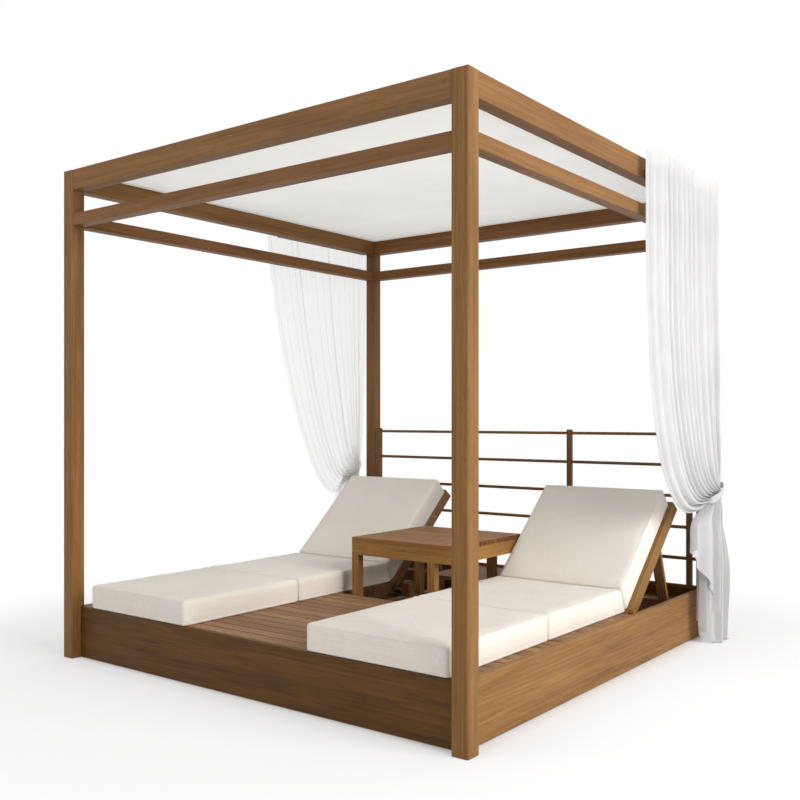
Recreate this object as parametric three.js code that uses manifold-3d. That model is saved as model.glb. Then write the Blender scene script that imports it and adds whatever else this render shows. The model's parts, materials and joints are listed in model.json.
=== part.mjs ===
// Outdoor daybed with a canopy: a square teak frame over a slatted deck, two loungers with
// adjustable backs, a low table between them, a rear railing and two tied-back curtains.
// Millimetres, +Z up. Origin on the ground under the middle of the frame; -Y is the open front
// and +X the right-hand side for somebody who stands in front.

import * as THREE from "three";
import { mergeVertices } from "three/addons/utils/BufferGeometryUtils.js";
import Module from "manifold-3d";

const wasm = await Module();
wasm.setup();

// Clearances, and how far joined pieces and cutting tools run past a face
const contactGap = 0.3;
const pinClearance = 0.3;
const joinOverlap = 0.3;
const cutOverrun = 5;

// Main frame
const frameWidth = 2290;
const frameDepth = 2330;
const frameHeight = 2300;
const postSide = 68;
const postEdge = 3;
const railSetback = 3;
const upperRailHeight = 93;
const upperRailThickness = 60;
const lowerRailHeight = 56;
const lowerRailThickness = 56;
const railSpacing = 113;

// Base panels and deck
const baseHeight = 240;
const panelThickness = 22;
const panelInset = 47;
const panelFloorGap = 3;
const slatThickness = 22;
const slatPitch = 70;
const slatGap = 7;
const battenHeight = 46;
const battenWidth = 46;
const seatSlatThickness = 52;
const wellStartShare = 0.45193;
const wellEndShare = 0.77983;
const seatDeckSetback = 57;
const seatDeckReach = 38;
const joistFromSeat = 68;
const joistWidth = 46;
const joistHeight = 112;
const ledgerWidth = 24;
const ledgerHeight = 60;

// Lounger cushions
const cushionWidthShare = 0.2904;
const cushionLengthShare = 0.306;
const cushionThickness = 110;
const cushionFrontInset = 47;
const cushionShift = 12;
const loungerDrift = 19;
const cushionEdge = 14;
const cushionCrown = 5;
const cushionDrawIn = 4;
const cushionGap = 2;
const cushionPointsPerSide = 8;
const cushionRoundShare = 0.3;
const crownFootShare = 0.2;
const crownTopShare = 0.4;
const backCushionEndShare = 0.2987;

// Back frame, its hinge and its prop
const backAngle = THREE.MathUtils.degToRad(41.7);
const hingePlaceShare = 0.64678;
const hingeRise = 40;
const backFrameOverhang = 2.5;
const backSideClearance = 21.7;
const backRailThickness = 30;
const backRailDepth = 70;
const backRailLengthShare = 0.30987;
const backRailTail = 32;
const backRailTailDrop = 16;
const headCut = 16;
const backSlatCount = 8;
const backSlatWidth = 52;
const backSlatThickness = 18;
const headRailWidth = 28;
const headRailDepth = 44;
const rodRadius = 8;
const rodSides = 16;
const earLength = 46;
const earRise = 52;
const earWidth = 20;
const propPivotShare = 0.23176;
const propLengthShare = 0.18069;
const propAngle = THREE.MathUtils.degToRad(-111.1);
const propLegWidth = 50;
const propLegThickness = 20;
const propHead = 15;
const propLegGap = 5;
const footBarWidth = 50;
const restSlope = THREE.MathUtils.degToRad(60);
const restFaceHalf = 26;
const restHeight = 92;
const restClearance = 0.6;

// Side table
const tableHeight = 291;
const tableSideGap = 4.5;
const tableRearOverhang = 60;
const tableFrontFromWell = 10;
const tableSlatThickness = 22;
const tableSlatPitch = 40;
const tableSlatGap = 6;
const tableApronHeight = 66;
const tableApronThickness = 22;
const tableLegSide = 40;
const tableLegFromLug = 63;
const tableCleatWidth = 45;
const tableCleatHeight = 25;

// Rear railing
const barSide = 16;
const uprightWidth = 28;
const uprightThickness = 22;
const topBarHeight = 1047;
const barPitchShare = 0.202;
const upperBarCount = 5;
const innerUprightShift = 20;
const outerUprightInset = 107;
const uprightHead = 12;

// Canopy cloth
const canopyThickness = 5;
const canopySag = 16;
const canopyDrop = 6;
const canopyDivisions = 10;

// Curtains
const curtainRise = 41;
const curtainBattenThickness = 14;
const curtainBattenInset = 60;
const curtainBattenHeight = 42;
const curtainStartShare = 0.59485;
const curtainEndInset = 18;
const curtainThickness = 9;
const curtainFoldDepth = 13;
const curtainFolds = 7;
const curtainPointsPerFold = 5;
const tieHeight = 760;
const tieWidth = 34;
const tieThickness = 5;
const tieInset = 85;
const waistHalfWidth = 46;
const waistHalfDepth = 36;
const tailHalfWidth = 92;
const tailHalfDepth = 70;
const bellyHeight = 655;
const bundleFillShare = 0.93;
const bundleRoundShare = 0.75;
const gatherRoundShare = 0.6;
const bandPoints = 28;

// Places worked out from the sizes above
const halfWidth = frameWidth / 2;
const halfDepth = frameDepth / 2;
const panelInner = panelInset + panelThickness;
const deckHalfWidth = halfWidth - panelInner - contactGap;
const deckFront = -halfDepth + panelInner + contactGap;
const deckRear = halfDepth - panelInner - contactGap;
const joistTop = baseHeight - slatThickness - battenHeight;
const ledgerTop = baseHeight - seatSlatThickness;
const wellFront = -halfDepth + wellStartShare * frameDepth;
const wellRear = -halfDepth + wellEndShare * frameDepth;
const hingeY = -halfDepth + hingePlaceShare * frameDepth;
const hingeZ = baseHeight - hingeRise;
const seatDeckRear = hingeY - seatDeckSetback;
const cushionWidth = cushionWidthShare * frameWidth;
const cushionLength = cushionLengthShare * frameDepth;
const backCushionEnd = backCushionEndShare * frameDepth;
const backRailLength = backRailLengthShare * frameDepth;
const propPivotReach = propPivotShare * frameDepth;
const propLength = propLengthShare * frameDepth;
const backFrameWidth = cushionWidth + 2 * backFrameOverhang;
const backFrameOuter = deckHalfWidth - ledgerWidth - backSideClearance;
const backFrameInner = backFrameOuter - backFrameWidth;
const cushionCentre = (backFrameOuter + backFrameInner) / 2 - cushionShift;
const seatDeckInner = backFrameInner - seatDeckReach;
const joistOuter = seatDeckInner - joistFromSeat;
const joistCentre = joistOuter - joistWidth / 2;
const joistInner = joistOuter - joistWidth;
const curtainTop = frameHeight + curtainRise;
const curtainFront = -halfDepth + curtainStartShare * frameDepth;
const railingY = halfDepth - panelInset - panelThickness / 2;
const postSpan = { x: halfWidth - postSide - contactGap, y: halfDepth - postSide - contactGap };

const group = new THREE.Group();

// Colours and finishes
function finish(color, roughness, metalness = 0) {
  return new THREE.MeshStandardMaterial({ color, roughness, metalness });
}
const teak = finish(0x8a5c30, 0.6);
const deckTeak = finish(0x875d3f, 0.7);
const darkTeak = finish(0x4d351e, 0.65);
const cushionFabric = finish(0xe2dbd0, 0.95);
const canopyFabric = finish(0xe8e8e6, 0.9);
const curtainFabric = finish(0xf4f4f4, 0.9);
const steel = finish(0xb5b7ba, 0.3, 1);

function place(name, geometry, material, parent = group) {
  const mesh = new THREE.Mesh(geometry, material);
  mesh.name = name;
  parent.add(mesh);
  return mesh;
}

// Joining and cutting
function toSolid(geometry) {
  const bare = geometry.clone();
  bare.deleteAttribute("normal");
  bare.deleteAttribute("uv");
  const merged = mergeVertices(bare);
  return new wasm.Manifold(new wasm.Mesh({
    numProp: 3,
    vertProperties: new Float32Array(merged.attributes.position.array),
    triVerts: new Uint32Array(merged.index.array),
  }));
}

function toGeometry(solid) {
  const mesh = solid.getMesh();
  const geometry = new THREE.BufferGeometry();
  geometry.setAttribute("position", new THREE.BufferAttribute(mesh.vertProperties, 3));
  geometry.setIndex(new THREE.BufferAttribute(mesh.triVerts, 1));
  geometry.computeVertexNormals();
  return geometry;
}

function join(geometries) {
  const solids = geometries.map(toSolid);
  return toGeometry(solids.reduce((whole, piece) => whole.add(piece)));
}

function cut(geometry, tools) {
  const whole = toSolid(geometry);
  return toGeometry(tools.map(toSolid).reduce((rest, tool) => rest.subtract(tool), whole));
}

// Plain shapes
function block(x, y, z) {
  const geometry = new THREE.BoxGeometry(x[1] - x[0], y[1] - y[0], z[1] - z[0]);
  return geometry.translate((x[0] + x[1]) / 2, (y[0] + y[1]) / 2, (z[0] + z[1]) / 2);
}

// A side profile given as (y, z) points, drawn out along X
function sideProfile(points, x) {
  const shape = new THREE.Shape(points.map(([y, z]) => new THREE.Vector2(y, z)));
  const geometry = new THREE.ExtrudeGeometry(shape, { depth: x[1] - x[0], bevelEnabled: false });
  const basis = new THREE.Matrix4().makeBasis(
    new THREE.Vector3(0, 1, 0), new THREE.Vector3(0, 0, 1), new THREE.Vector3(1, 0, 0));
  return geometry.applyMatrix4(basis).translate(x[0], 0, 0);
}

// A round bar along X, centred on (y, z)
function crossRod(radius, x, y, z) {
  const geometry = new THREE.CylinderGeometry(radius, radius, x[1] - x[0], rodSides);
  return geometry.rotateZ(Math.PI / 2).translate((x[0] + x[1]) / 2, y, z);
}

// A square stick along Z with its four long edges planed off
function chamferedPost(side, edge, height) {
  const half = side / 2;
  const inner = half - edge;
  const outline = [
    [-inner, -half], [inner, -half], [half, -inner], [half, inner],
    [inner, half], [-inner, half], [-half, inner], [-half, -inner],
  ];
  const shape = new THREE.Shape(outline.map(([x, y]) => new THREE.Vector2(x, y)));
  return new THREE.ExtrudeGeometry(shape, { depth: height, bevelEnabled: false });
}

// A closed skin through rings of points, with the first and last ring filled flat
function skin(rings) {
  const count = rings[0].length;
  const positions = rings.flat(2);
  const index = [];
  for (let ring = 0; ring + 1 < rings.length; ring += 1) {
    for (let i = 0; i < count; i += 1) {
      const next = (i + 1) % count;
      const a = ring * count + i;
      const b = ring * count + next;
      index.push(a, b, b + count, a, b + count, a + count);
    }
  }
  const capTurns = [[0, false], [(rings.length - 1) * count, true]];
  for (const [start, upward] of capTurns) {
    const flat = rings[start / count].map(([x, y]) => new THREE.Vector2(x, y));
    for (const [a, b, c] of THREE.ShapeUtils.triangulateShape(flat, [])) {
      index.push(...(upward ? [start + a, start + b, start + c] : [start + a, start + c, start + b]));
    }
  }
  const geometry = new THREE.BufferGeometry();
  geometry.setAttribute("position", new THREE.Float32BufferAttribute(positions, 3));
  geometry.setIndex(index);
  return geometry;
}

// Four corner posts, full height
function buildPosts() {
  const corners = { front_left: [-1, -1], front_right: [1, -1], rear_left: [-1, 1], rear_right: [1, 1] };
  for (const [corner, [x, y]] of Object.entries(corners)) {
    const post = chamferedPost(postSide, postEdge, frameHeight);
    post.translate(x * (halfWidth - postSide / 2), y * (halfDepth - postSide / 2), 0);
    place(`post_${corner}`, post, teak);
  }
}

// One rail on each side between the posts, its outer face just behind theirs
function buildRailRing(prefix, bottom, height, thickness) {
  const z = [bottom, bottom + height];
  for (const [name, side] of [["left", -1], ["right", 1]]) {
    const faces = [halfWidth - railSetback - thickness, halfWidth - railSetback];
    const x = side > 0 ? faces : [-faces[1], -faces[0]];
    place(`${prefix}_${name}`, block(x, [-postSpan.y, postSpan.y], z), teak);
  }
  for (const [name, side] of [["front", -1], ["rear", 1]]) {
    const faces = [halfDepth - railSetback - thickness, halfDepth - railSetback];
    const y = side > 0 ? faces : [-faces[1], -faces[0]];
    place(`${prefix}_${name}`, block([-postSpan.x, postSpan.x], y, z), teak);
  }
}

// Broad boards that close the base between the posts
function buildBasePanels() {
  const z = [panelFloorGap, baseHeight];
  const inner = halfWidth - panelInner;
  const outer = halfWidth - panelInset;
  place("base_panel_left", block([-outer, -inner], [-postSpan.y, postSpan.y], z), teak);
  place("base_panel_right", block([inner, outer], [-postSpan.y, postSpan.y], z), teak);
  const innerY = halfDepth - panelInner;
  const outerY = halfDepth - panelInset;
  const reach = inner - contactGap;
  place("base_panel_front", block([-reach, reach], [-outerY, -innerY], z), teak);
  place("base_panel_rear", block([-reach, reach], [innerY, outerY], z), teak);
}

// Slats along X between two depths, on battens along Y centred on the places given
function slattedDeck(x, y, thickness, battens) {
  const depth = y[1] - y[0];
  const count = Math.max(1, Math.round((depth + slatGap) / slatPitch));
  const pitch = (depth + slatGap) / count;
  const pieces = battens.map(({ centre, width, height }) => {
    const top = baseHeight - thickness;
    const sides = [centre - width / 2, centre + width / 2];
    return block(sides, y, [top - height, top + joinOverlap]);
  });
  for (let i = 0; i < count; i += 1) {
    const start = y[0] + i * pitch;
    pieces.push(block(x, [start, start + pitch - slatGap], [baseHeight - thickness, baseHeight]));
  }
  return join(pieces);
}

// Deck sections: the front of the corridor, both seats, and the strip at the rear
function buildDeck() {
  const overJoists = [-1, 1].map((side) => ({
    centre: side * joistCentre, width: battenWidth, height: battenHeight,
  }));
  const overLedgers = [-1, 1].map((side) => ({
    centre: side * (deckHalfWidth - ledgerWidth / 2), width: ledgerWidth, height: battenHeight,
  }));
  const frontX = [-deckHalfWidth, deckHalfWidth];
  const frontBattens = [...overJoists, ...overLedgers];
  const front = slattedDeck(frontX, [deckFront, wellFront], slatThickness, frontBattens);
  place("deck_front", front, deckTeak);

  const rearX = [-seatDeckInner, seatDeckInner];
  const rear = slattedDeck(rearX, [wellRear, deckRear], slatThickness, overJoists);
  place("deck_rear", rear, deckTeak);

  const seatY = [wellFront + contactGap, seatDeckRear];
  for (const [name, side] of [["left", -1], ["right", 1]]) {
    const span = side > 0 ? [seatDeckInner, deckHalfWidth] : [-deckHalfWidth, -seatDeckInner];
    const centre = side * (seatDeckInner + battenWidth / 2);
    const batten = { centre, width: battenWidth, height: seatSlatThickness };
    place(`deck_seat_${name}`, slattedDeck(span, seatY, seatSlatThickness, [batten]), deckTeak);
  }
}

// The lug that a hinge rod turns in, drawn in side view
function hingeLug(x, bottom) {
  const half = earLength / 2;
  const top = hingeZ + earRise;
  const shoulder = half / 2;
  return sideProfile([
    [hingeY - half, bottom], [hingeY + half, bottom], [hingeY + half, top - shoulder],
    [hingeY + shoulder, top], [hingeY - shoulder, top], [hingeY - half, top - shoulder],
  ], x);
}

// The tool that bores a hole for a hinge rod through a lug
function hingeBore(x) {
  return crossRod(rodRadius + pinClearance, [x[0] - cutOverrun, x[1] + cutOverrun], hingeY, hingeZ);
}

// Joists under the corridor and ledgers on the side panels, each with a hinge lug
function buildBearers() {
  const bearerTop = joistTop - contactGap;
  const ledgerBottom = bearerTop - ledgerHeight;
  const seatY = [wellFront + contactGap, seatDeckRear];
  for (const [name, side] of [["left", -1], ["right", 1]]) {
    const joistX = side > 0 ? [joistInner, joistOuter] : [-joistOuter, -joistInner];
    const beam = block(joistX, [deckFront, deckRear], [joistTop - joistHeight, bearerTop]);
    const joist = join([beam, hingeLug(joistX, joistTop - joistHeight / 2)]);
    place(`joist_${name}`, cut(joist, [hingeBore(joistX)]), teak);

    const inner = side * (deckHalfWidth - ledgerWidth);
    const outer = side * deckHalfWidth;
    const lugEdge = inner + side * earWidth;
    const ledgerX = side > 0 ? [inner, outer] : [outer, inner];
    const lugX = side > 0 ? [inner, lugEdge] : [lugEdge, inner];
    const ledger = join([
      block(ledgerX, [deckFront, deckRear], [ledgerBottom, bearerTop]),
      block(ledgerX, seatY, [ledgerBottom, ledgerTop - contactGap]),
      hingeLug(lugX, ledgerBottom + joinOverlap),
    ]);
    place(`side_ledger_${name}`, cut(ledger, [hingeBore(lugX)]), teak);
  }
}

// A padded block: rounded edges, crowned top and sides drawn in between the corners.
// The two lengths run along the underside and along the top.
function cushion(x, start, lengths, bottom, thickness) {
  const width = x[1] - x[0];
  const outline = [];
  for (let side = 0; side < 4; side += 1) {
    for (let i = 0; i < cushionPointsPerSide; i += 1) {
      const t = i / cushionPointsPerSide;
      outline.push([[t, 0], [1, t], [1 - t, 1], [0, 1 - t]][side]);
    }
  }
  const shoulder = thickness - cushionCrown;
  const rounding = cushionEdge * cushionRoundShare;
  const levels = [
    { inset: cushionEdge, height: 0, pullShare: 0 },
    { inset: rounding, height: rounding, pullShare: cushionRoundShare },
    { inset: 0, height: cushionEdge, pullShare: 1 },
    { inset: 0, height: shoulder - cushionEdge, pullShare: 1 },
    { inset: rounding, height: shoulder - rounding, pullShare: cushionRoundShare },
    { inset: cushionEdge, height: shoulder, pullShare: 0 },
    { inset: width * crownFootShare, height: thickness - cushionCrown * cushionRoundShare, pullShare: 0 },
    { inset: width * crownTopShare, height: thickness, pullShare: 0 },
  ];
  const rings = levels.map(({ inset, height, pullShare }) => outline.map(([u, v]) => {
    const length = lengths[0] + (lengths[1] - lengths[0]) * (height / thickness);
    const drawn = pullShare * cushionDrawIn;
    const arcX = Math.sin(Math.PI * v) * Math.sign(0.5 - u) * (u === 0 || u === 1 ? drawn : 0);
    const arcY = Math.sin(Math.PI * u) * Math.sign(0.5 - v) * (v === 0 || v === 1 ? drawn : 0);
    const atCorner = (u === 0 || u === 1) && (v === 0 || v === 1);
    const soft = atCorner ? Math.max(0, cushionEdge - inset) * cushionRoundShare : 0;
    const px = x[0] + inset + u * (width - 2 * inset) + arcX + Math.sign(0.5 - u) * soft;
    const py = start + inset + v * (length - 2 * inset) + arcY + Math.sign(0.5 - v) * soft;
    return [px, py, bottom + height];
  }));
  return skin(rings);
}

// The meeting face of the seat and back cushions, as depths at the underside and at the top
function meetingFace() {
  const seatTop = baseHeight + cushionThickness;
  const sine = Math.sin(backAngle);
  const cosine = Math.cos(backAngle);
  const topReach = (seatTop - hingeZ - (hingeRise + cushionThickness) * cosine) / sine;
  const bottomReach = (baseHeight + cushionGap - hingeZ - hingeRise * cosine) / sine;
  const top = hingeY + topReach * cosine - (hingeRise + cushionThickness) * sine;
  const bottom = hingeY + bottomReach * cosine - hingeRise * sine;
  return { top, bottom, topReach, bottomReach };
}

// One lounger: cushions on the deck, and the back that turns on its hinge rod
function buildLounger(name, side) {
  const bedCentre = loungerDrift + side * cushionCentre;
  const bedX = [bedCentre - cushionWidth / 2, bedCentre + cushionWidth / 2];
  const footStart = -halfDepth + cushionFrontInset;
  const meeting = meetingFace();
  const bottom = baseHeight + contactGap;
  const footLength = cushionLength - cushionGap;
  const foot = cushion(bedX, footStart, [footLength, footLength], bottom, cushionThickness);
  place(`foot_cushion_${name}`, foot, cushionFabric);
  const seatStart = footStart + cushionLength;
  const seatLengths = [meeting.bottom - seatStart - cushionGap, meeting.top - seatStart - cushionGap];
  const seat = cushion(bedX, seatStart, seatLengths, bottom, cushionThickness);
  place(`seat_cushion_${name}`, seat, cushionFabric);

  const back = new THREE.Group();
  back.position.set(0, hingeY, hingeZ);
  back.rotation.x = backAngle;
  group.add(back);

  const backStart = meeting.bottomReach + cushionGap;
  const topStart = meeting.topReach + cushionGap;
  const backLengths = [backCushionEnd - backStart, backCushionEnd - topStart];
  const rise = hingeRise + contactGap;
  const cushionBack = cushionFromFarEnd(bedX, backLengths, rise);
  place(`back_cushion_${name}`, cushionBack, cushionFabric, back);

  const frameCentre = loungerDrift + side * (backFrameInner + backFrameOuter) / 2;
  const frameX = [frameCentre - backFrameWidth / 2, frameCentre + backFrameWidth / 2];
  place(`back_frame_${name}`, backFrame(frameX), teak, back);

  const rodEnds = [joistInner, deckHalfWidth - ledgerWidth + earWidth];
  const rodX = side > 0 ? rodEnds : [-rodEnds[1], -rodEnds[0]];
  place(`hinge_rod_${name}`, crossRod(rodRadius, rodX, hingeY, hingeZ), steel);

  place(`prop_rod_${name}`, crossRod(rodRadius, frameX, propPivotReach, 0), steel, back);
  const prop = new THREE.Group();
  prop.position.set(0, propPivotReach, 0);
  prop.rotation.x = propAngle;
  back.add(prop);
  place(`prop_${name}`, propFrame(frameX), teak, prop);
}

// The back cushion: measured from its head, so that its slanted end meets the seat
function cushionFromFarEnd(x, lengths, bottom) {
  const geometry = cushion(x, 0, lengths, bottom, cushionThickness);
  const position = geometry.attributes.position;
  for (let i = 0; i < position.count; i += 1) {
    position.setY(i, backCushionEnd - position.getY(i));
    position.setX(i, x[0] + x[1] - position.getX(i));
  }
  return geometry;
}

// Side rails with cut heads, slats let in between them, and a head rail
function backFrame(x) {
  const low = hingeRise - backRailDepth;
  const railOutline = [
    [-backRailTail, low + backRailTailDrop], [-backRailTail + backRailTailDrop, low],
    [backRailLength + headCut, low], [backRailLength, hingeRise],
    [-backRailTail + backRailTailDrop, hingeRise], [-backRailTail, hingeRise - backRailTailDrop],
  ];
  const pieces = [
    sideProfile(railOutline, [x[0], x[0] + backRailThickness]),
    sideProfile(railOutline, [x[1] - backRailThickness, x[1]]),
  ];
  const inside = [x[0] + backRailThickness - joinOverlap, x[1] - backRailThickness + joinOverlap];
  const slatZ = [hingeRise - backSlatThickness, hingeRise];
  const firstSlat = backRailTail;
  const lastSlat = backRailLength - headRailWidth - backSlatWidth;
  const step = (lastSlat - firstSlat) / backSlatCount;
  for (let i = 0; i < backSlatCount; i += 1) {
    const start = firstSlat + i * step;
    pieces.push(block(inside, [start, start + backSlatWidth], slatZ));
  }
  const head = [backRailLength - headRailWidth, backRailLength];
  pieces.push(block(inside, head, [hingeRise - headRailDepth, hingeRise]));
  const boreX = [x[0] - cutOverrun, x[1] + cutOverrun];
  const bores = [0, propPivotReach].map((y) => crossRod(rodRadius + pinClearance, boreX, y, 0));
  return cut(join(pieces), bores);
}

// Two legs and a foot bar. The foot is cut to the slope of the rest that it stands on.
function propFrame(x) {
  const half = propLegThickness / 2;
  const slope = restSlope - (backAngle + propAngle);
  const skew = half / Math.tan(slope);
  const leg = [
    [-propHead, -half], [propLength - skew, -half], [propLength + skew, half], [-propHead, half],
  ];
  const inset = backRailThickness + propLegGap;
  const inner = [x[0] + inset, x[1] - inset];
  const barOutline = [
    [propLength - footBarWidth, -half], [propLength - skew, -half],
    [propLength + skew, half], [propLength - footBarWidth, half],
  ];
  const pieces = [
    sideProfile(leg, [inner[0], inner[0] + propLegWidth]),
    sideProfile(leg, [inner[1] - propLegWidth, inner[1]]),
    sideProfile(barOutline, [inner[0] + propLegWidth - joinOverlap, inner[1] - propLegWidth + joinOverlap]),
  ];
  const bore = crossRod(rodRadius + pinClearance, [x[0] - cutOverrun, x[1] + cutOverrun], 0, 0);
  return cut(join(pieces), [bore]);
}

// Bevelled blocks against the rear panel, which the props stand on
function buildPropRests() {
  const lean = backAngle + propAngle;
  const pivot = [
    hingeY + propPivotReach * Math.cos(backAngle),
    hingeZ + propPivotReach * Math.sin(backAngle),
  ];
  const reach = propLength + restClearance;
  const foot = [pivot[0] + reach * Math.cos(lean), pivot[1] + reach * Math.sin(lean)];
  const run = restFaceHalf * Math.cos(restSlope);
  const climb = restFaceHalf * Math.sin(restSlope);
  const outline = [
    [foot[0] - run, foot[1] - climb], [foot[0] - run, foot[1] + climb - restHeight],
    [deckRear, foot[1] + climb - restHeight], [deckRear, foot[1] + climb], [foot[0] + run, foot[1] + climb],
  ];
  const inner = joistOuter + contactGap;
  const outer = deckHalfWidth - ledgerWidth - contactGap;
  place("prop_rest_left", sideProfile(outline, [-outer, -inner]), teak);
  place("prop_rest_right", sideProfile(outline, [inner, outer]), teak);
}

// Low table: a slatted top on cleats, and a frame of aprons on four legs
function buildTable() {
  const top = baseHeight + tableHeight;
  const front = wellFront + tableFrontFromWell;
  const rearApron = hingeY + earLength / 2 + tableLegFromLug + tableLegSide;
  const rear = rearApron + tableRearOverhang;
  const leftEdge = -joistOuter;
  const rightEdge = loungerDrift + cushionCentre - cushionWidth / 2 - tableSideGap;
  const under = top - tableSlatThickness;
  const depthAndGap = rear - front + tableSlatGap;
  const count = Math.round(depthAndGap / tableSlatPitch);
  const pitch = depthAndGap / count;
  const inset = tableApronThickness + contactGap;
  const cleatY = [front + inset, rear];
  const cleatZ = [under - tableCleatHeight, under + joinOverlap];
  const leftCleat = leftEdge + tableLegSide + contactGap;
  const rightCleat = rightEdge - inset;
  const topPieces = [
    block([leftCleat, leftCleat + tableCleatWidth], cleatY, cleatZ),
    block([rightCleat - tableCleatWidth, rightCleat], cleatY, cleatZ),
  ];
  for (let i = 0; i < count; i += 1) {
    const start = front + i * pitch;
    const slatY = [start, start + pitch - tableSlatGap];
    topPieces.push(block([leftEdge, rightEdge], slatY, [under, top]));
  }
  place("table_top", join(topPieces), teak);

  const z = [under - tableApronHeight, under - contactGap];
  const rearZ = [z[0], under - tableCleatHeight - contactGap];
  const depth = [front, rearApron];
  const pieces = [
    block([leftEdge, rightEdge], [depth[0], depth[0] + tableApronThickness], z),
    block([leftEdge, rightEdge], [depth[1] - tableApronThickness, depth[1]], rearZ),
    block([leftEdge, leftEdge + tableApronThickness], depth, z),
    block([rightEdge - tableApronThickness, rightEdge], depth, z),
  ];
  const legZ = [joistTop, under - contactGap];
  for (const x of [[-joistOuter, tableLegSide - joistOuter], [joistOuter - tableLegSide, joistOuter]]) {
    pieces.push(block(x, [depth[0], depth[0] + tableLegSide], legZ));
    pieces.push(block(x, [depth[1] - tableLegSide, depth[1]], legZ));
  }
  place("table_frame", join(pieces), teak);
}

// Bars through slotted uprights, standing on the bottom bar's level between the rear posts
function buildRailing() {
  const half = barSide / 2;
  const barHeights = [baseHeight + contactGap + half];
  const barPitch = barPitchShare * (topBarHeight - baseHeight);
  for (let i = 0; i < upperBarCount; i += 1) {
    barHeights.push(topBarHeight - (upperBarCount - 1 - i) * barPitch);
  }
  const barX = [-postSpan.x, postSpan.x];
  barHeights.forEach((height, i) => {
    const bar = block(barX, [railingY - half, railingY + half], [height - half, height + half]);
    place(`railing_bar_${i + 1}`, bar, darkTeak);
  });
  const innerUpright = seatDeckInner + innerUprightShift;
  const outerUpright = halfWidth - outerUprightInset;
  const centres = [-outerUpright, -innerUpright, innerUpright, outerUpright];
  centres.forEach((centre, i) => {
    const x = [centre - uprightWidth / 2, centre + uprightWidth / 2];
    const y = [railingY - uprightThickness / 2, railingY + uprightThickness / 2];
    const stick = block(x, y, [baseHeight + contactGap, topBarHeight + half + uprightHead]);
    const slot = half + contactGap;
    const slots = barHeights.map((height, order) => block(
      [x[0] - cutOverrun, x[1] + cutOverrun],
      [railingY - slot, railingY + slot],
      [order ? height - slot : baseHeight - cutOverrun, height + slot],
    ));
    place(`railing_upright_${i + 1}`, cut(stick, slots), darkTeak);
  });
}

// One sheet of cloth held between the upper rails, sagging a little in the middle
function buildCanopy() {
  const reachX = halfWidth - railSetback - upperRailThickness - contactGap;
  const reachY = halfDepth - railSetback - upperRailThickness - contactGap;
  const post = [halfWidth - postSide - contactGap, halfDepth - postSide - contactGap];
  const edge = frameHeight - canopyDrop;
  const n = canopyDivisions;
  const height = (u, v) => edge - canopySag * (1 - (2 * u - 1) ** 2) * (1 - (2 * v - 1) ** 2);
  const rows = [];
  for (const lift of [-canopyThickness, 0]) {
    for (let j = 0; j <= n; j += 1) {
      for (let i = 0; i <= n; i += 1) {
        const corner = (i === 0 || i === n) && (j === 0 || j === n);
        const limitX = corner ? post[0] : reachX;
        const limitY = corner ? post[1] : reachY;
        rows.push([(2 * i / n - 1) * limitX, (2 * j / n - 1) * limitY, height(i / n, j / n) + lift]);
      }
    }
  }
  const at = (i, j, layer) => layer * (n + 1) ** 2 + j * (n + 1) + i;
  const index = [];
  for (let j = 0; j < n; j += 1) {
    for (let i = 0; i < n; i += 1) {
      index.push(at(i, j, 1), at(i + 1, j, 1), at(i + 1, j + 1, 1));
      index.push(at(i, j, 1), at(i + 1, j + 1, 1), at(i, j + 1, 1));
      index.push(at(i, j, 0), at(i + 1, j + 1, 0), at(i + 1, j, 0));
      index.push(at(i, j, 0), at(i, j + 1, 0), at(i + 1, j + 1, 0));
    }
  }
  const rim = [];
  for (let i = 0; i < n; i += 1) {
    rim.push([i, 0]);
  }
  for (let j = 0; j < n; j += 1) {
    rim.push([n, j]);
  }
  for (let i = n; i > 0; i -= 1) {
    rim.push([i, n]);
  }
  for (let j = n; j > 0; j -= 1) {
    rim.push([0, j]);
  }
  rim.forEach(([i, j], k) => {
    const [nextI, nextJ] = rim[(k + 1) % rim.length];
    index.push(at(i, j, 0), at(nextI, nextJ, 0), at(nextI, nextJ, 1));
    index.push(at(i, j, 0), at(nextI, nextJ, 1), at(i, j, 1));
  });
  const geometry = new THREE.BufferGeometry();
  geometry.setAttribute("position", new THREE.Float32BufferAttribute(rows.flat(), 3));
  geometry.setIndex(index);
  place("canopy_cloth", geometry, canopyFabric);
}

// The curtain's waist, where the band holds it beside the rear post
function waistPlace() {
  const x = halfWidth + contactGap + tieThickness + contactGap + waistHalfDepth;
  const y = halfDepth - tieInset;
  const fill = waistHalfWidth * bundleFillShare;
  const bandFront = y - waistHalfWidth - tieThickness - 2 * contactGap;
  return { x, y, from: y - fill, to: y + fill, bandFront };
}

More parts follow.
